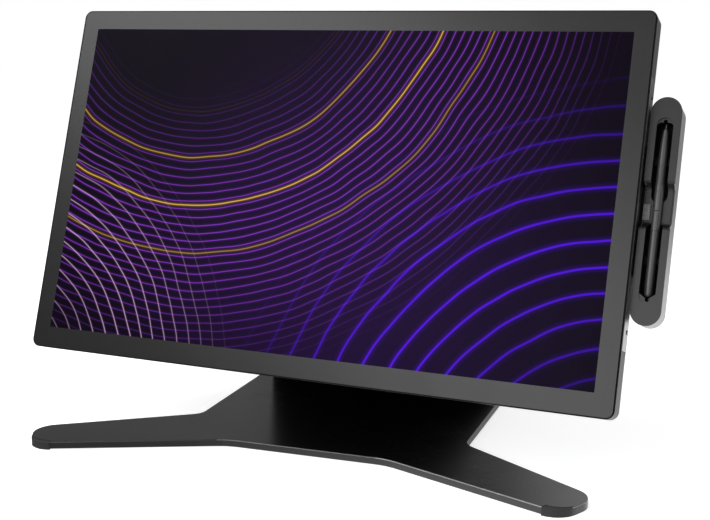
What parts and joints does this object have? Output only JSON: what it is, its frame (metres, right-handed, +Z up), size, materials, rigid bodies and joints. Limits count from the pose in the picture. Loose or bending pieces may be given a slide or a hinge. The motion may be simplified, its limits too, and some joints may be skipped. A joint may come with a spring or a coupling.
{
  "type": "pen display",
  "caption": "Wide pen display with a matte glass front on a flat two-legged stand that swivels and tilts; a pen tray with a slim pen hooks on its right side.",
  "frame": {"origin": "on the table, on the swivel axis, at the middle of the centre pad's underside", "axes": "+X to the user's right, +Y away from the user, +Z up"},
  "size_m": [0.6727, 0.4003, 0.4404],
  "materials": {
    "etched_glass": "etched, matte",
    "black_foam": "matte",
    "case_grey": "satin",
    "lcd": "gloss",
    "diffuser": "satin",
    "sheet_metal": "satin",
    "board": "satin",
    "cover_plastic": "matte",
    "rail_metal": "brushed",
    "screw_steel": "satin",
    "key_plastic": "matte",
    "tray_shell": "satin",
    "tray_black": "matte",
    "pen_plastic": "satin",
    "soft_rubber": "matte",
    "stand_black": "satin powder coat",
    "riser_black": "satin black coat",
    "bronze": "machined",
    "glide": "matte"
  },
  "bodies": {
    "stand": {"base_plate": "stand_black", "leg_feet": "soft_rubber", "rear_feet": "soft_rubber", "centre_pad": "soft_rubber", "riser": "riser_black", "riser_screws": "screw_steel", "riser_cover": "cover_plastic", "cover_screws": "screw_steel", "swivel_bush": "bronze", "thrust_washer": "glide", "head_cap": "cover_plastic"},
    "head": {"swivel_post": "screw_steel", "swivel_nut": "screw_steel", "stop_pin": "screw_steel", "yoke": "riser_black", "tilt_axle": "screw_steel", "axle_caps": "riser_black", "friction_discs": "screw_steel"},
    "panel": {"cover_glass": "etched_glass", "glass_gasket": "black_foam", "mid_frame": "case_grey", "lcd_cell": "lcd", "backlight": "diffuser", "backlight_tray": "sheet_metal", "sensor_sheet": "board", "chassis_plate": "sheet_metal", "main_board": "board", "port_block": "cover_plastic", "heat_spreader": "sheet_metal", "driver_board": "board", "key_boards": "board", "rear_cover": "cover_plastic", "case_screws": "screw_steel", "side_rail_left": "rail_metal", "side_rail_right": "rail_metal", "tray_bracket": "cover_plastic", "tray_body": "tray_shell", "tray_insert": "tray_black", "pen_cradles": "soft_rubber", "mount_plate": "stand_black", "mount_screws": "screw_steel"},
    "pen": {"pen_nib": "pen_plastic", "pen_nose": "pen_plastic", "pen_grip": "soft_rubber", "pen_barrel": "pen_plastic", "pen_tail": "pen_plastic"},
    "tray_latch": {"tray_latch": "key_plastic"},
    "power_button": {"power_button": "key_plastic"},
    "pen_switch_front": {"pen_switch_front": "key_plastic"},
    "pen_switch_rear": {"pen_switch_rear": "key_plastic"},
    "rear_key_left_1": {"rear_key_left_1": "key_plastic"},
    "rear_key_left_2": {"rear_key_left_2": "key_plastic"},
    "rear_key_left_3": {"rear_key_left_3": "key_plastic"},
    "rear_key_left_4": {"rear_key_left_4": "key_plastic"},
    "rear_key_right_1": {"rear_key_right_1": "key_plastic"},
    "rear_key_right_2": {"rear_key_right_2": "key_plastic"},
    "rear_key_right_3": {"rear_key_right_3": "key_plastic"},
    "rear_key_right_4": {"rear_key_right_4": "key_plastic"}
  },
  "joints": [
    {"name": "swivel", "type": "hinge", "parent": "stand", "child": "head", "pos_m": [0, 0, 0.15], "axis": [0, 0, 1], "range_deg": [-15.76, 24.24]},
    {"name": "tilt", "type": "hinge", "parent": "head", "child": "panel", "pos_m": [0, 0, 0.2115], "axis": [0.9973, -0.0739, 0], "range_deg": [-65.7, 1.3]},
    {"name": "pen_lift", "type": "slide", "parent": "panel", "child": "pen", "axis": [-0.0698, -0.9412, 0.3305], "range_m": [0, 0.045]},
    {"name": "pen_switch_front_press", "type": "slide", "parent": "pen", "child": "pen_switch_front", "axis": [0.0698, 0.9412, -0.3305], "range_m": [0, 0.0004], "stiffness_N_per_m": 800},
    {"name": "pen_switch_rear_press", "type": "slide", "parent": "pen", "child": "pen_switch_rear", "axis": [0.0698, 0.9412, -0.3305], "range_m": [0, 0.0004], "stiffness_N_per_m": 800},
    {"name": "tray_latch_slide", "type": "slide", "parent": "panel", "child": "tray_latch", "axis": [0.0244, 0.3296, 0.9438], "range_m": [0, 0.006]},
    {"name": "power_press", "type": "slide", "parent": "panel", "child": "power_button", "axis": [-0.0698, -0.9412, 0.3305], "range_m": [0, 0.001], "stiffness_N_per_m": 600},
    {"name": "rear_key_left_1_press", "type": "slide", "parent": "panel", "child": "rear_key_left_1", "axis": [-0.0698, -0.9412, 0.3305], "range_m": [0, 0.001], "stiffness_N_per_m": 600},
    {"name": "rear_key_left_2_press", "type": "slide", "parent": "panel", "child": "rear_key_left_2", "axis": [-0.0698, -0.9412, 0.3305], "range_m": [0, 0.001], "stiffness_N_per_m": 600},
    {"name": "rear_key_left_3_press", "type": "slide", "parent": "panel", "child": "rear_key_left_3", "axis": [-0.0698, -0.9412, 0.3305], "range_m": [0, 0.001], "stiffness_N_per_m": 600},
    {"name": "rear_key_left_4_press", "type": "slide", "parent": "panel", "child": "rear_key_left_4", "axis": [-0.0698, -0.9412, 0.3305], "range_m": [0, 0.001], "stiffness_N_per_m": 600},
    {"name": "rear_key_right_1_press", "type": "slide", "parent": "panel", "child": "rear_key_right_1", "axis": [-0.0698, -0.9412, 0.3305], "range_m": [0, 0.001], "stiffness_N_per_m": 600},
    {"name": "rear_key_right_2_press", "type": "slide", "parent": "panel", "child": "rear_key_right_2", "axis": [-0.0698, -0.9412, 0.3305], "range_m": [0, 0.001], "stiffness_N_per_m": 600},
    {"name": "rear_key_right_3_press", "type": "slide", "parent": "panel", "child": "rear_key_right_3", "axis": [-0.0698, -0.9412, 0.3305], "range_m": [0, 0.001], "stiffness_N_per_m": 600},
    {"name": "rear_key_right_4_press", "type": "slide", "parent": "panel", "child": "rear_key_right_4", "axis": [-0.0698, -0.9412, 0.3305], "range_m": [0, 0.001], "stiffness_N_per_m": 600}
  ]
}
